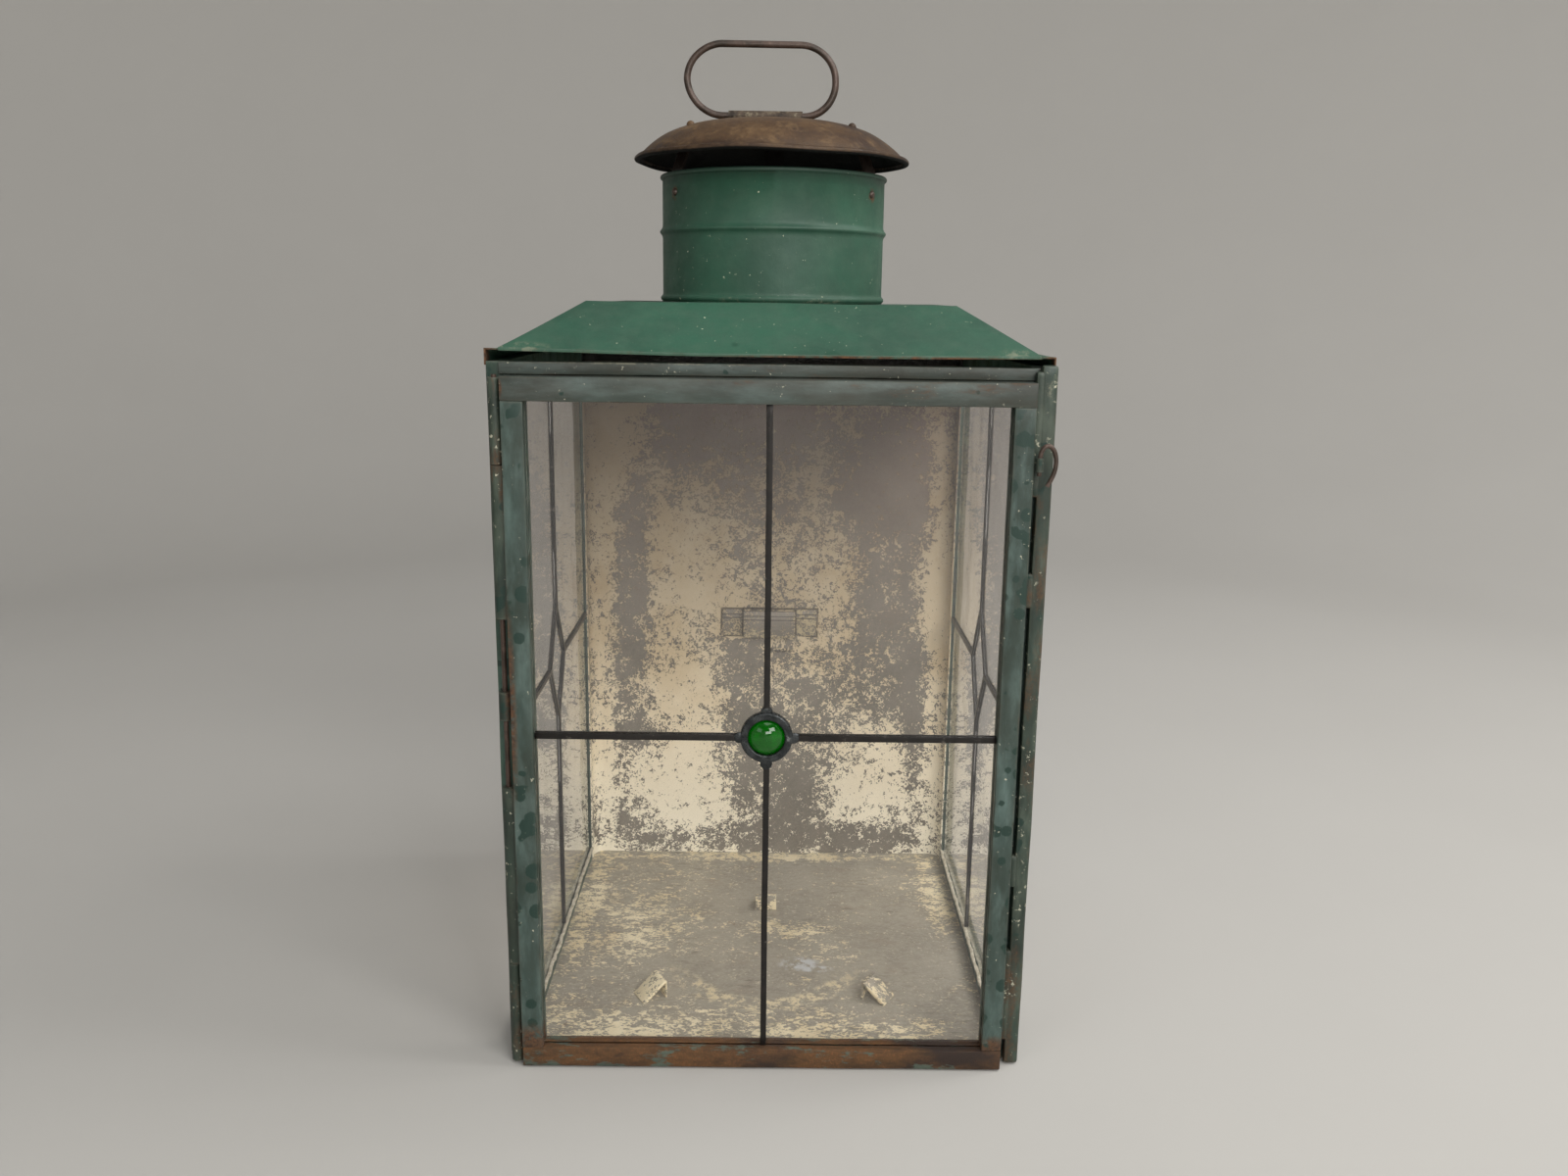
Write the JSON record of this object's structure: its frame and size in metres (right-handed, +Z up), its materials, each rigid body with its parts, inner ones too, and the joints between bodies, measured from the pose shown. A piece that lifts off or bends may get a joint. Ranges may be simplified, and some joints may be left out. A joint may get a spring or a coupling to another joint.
{
  "type": "barn lantern",
  "caption": "Square tin barn lantern with a hinged leaded glass door set with a round jewel, leaded side panes, a tin reflector back, hip roof, round chimney, rain cap and wire handle.",
  "frame": {"origin": "centre of the flat underside of the floor pan", "axes": "+Z up, the door faces -Y, +X to the viewer's right when facing the door"},
  "size_m": [0.2835, 0.2854, 0.5543],
  "materials": {
    "painted_tin": "worn green paint on tin",
    "cream_on_tin": "flaking cream paint on grey tin",
    "bare_tin": "dull tin",
    "rusty_tin": "brown rust",
    "iron_wire": "rusty iron wire",
    "lead_came": "dark lead",
    "clear_glass": "clear window glass",
    "green_glass": "green pressed glass"
  },
  "bodies": {
    "lantern": {"floor_pan": "cream_on_tin", "front_left_post": "painted_tin", "front_right_post": "painted_tin", "rear_left_post": "painted_tin", "rear_right_post": "painted_tin", "back_panel": "cream_on_tin", "left_sill": "painted_tin", "right_sill": "painted_tin", "left_header": "painted_tin", "right_header": "painted_tin", "front_header": "painted_tin", "left_glass": "clear_glass", "right_glass": "clear_glass", "left_cames": "lead_came", "right_cames": "lead_came", "reflector_strap": "cream_on_tin", "font_clip_left": "bare_tin", "font_clip_right": "bare_tin", "font_clip_rear": "bare_tin", "roof": "painted_tin", "collar": "painted_tin", "cap_stays": "rusty_tin", "collar_rivets": "rusty_tin", "cap": "rusty_tin", "cap_rivets": "rusty_tin", "handle_sleeve": "rusty_tin", "body_knuckles": "painted_tin", "hinge_pin": "iron_wire", "rolled_edge": "painted_tin", "edge_wire": "iron_wire", "latch_eye": "painted_tin"},
    "door": {"door_left_stile": "painted_tin", "door_right_stile": "painted_tin", "door_top_rail": "painted_tin", "door_bottom_rail": "rusty_tin", "door_knuckles": "painted_tin", "door_glass": "clear_glass", "door_cames": "lead_came", "jewel_ring": "lead_came", "jewel": "green_glass"},
    "latch_hook": {"latch_hook": "iron_wire"},
    "handle": {"handle": "iron_wire"}
  },
  "joints": [
    {"name": "door_hinge", "type": "hinge", "parent": "lantern", "child": "door", "pos_m": [-0.1348, -0.141, 0.187], "axis": [0, 0, -1], "range_deg": [0, 165]},
    {"name": "latch_pivot", "type": "hinge", "parent": "lantern", "child": "latch_hook", "pos_m": [0.1324, -0.1488, 0.335], "axis": [0, 0, -1], "range_deg": [0, 175]},
    {"name": "handle_pivot", "type": "hinge", "parent": "lantern", "child": "handle", "pos_m": [-0.005, 0, 0.5138], "axis": [1, 0, 0], "range_deg": [-90, 90]}
  ]
}
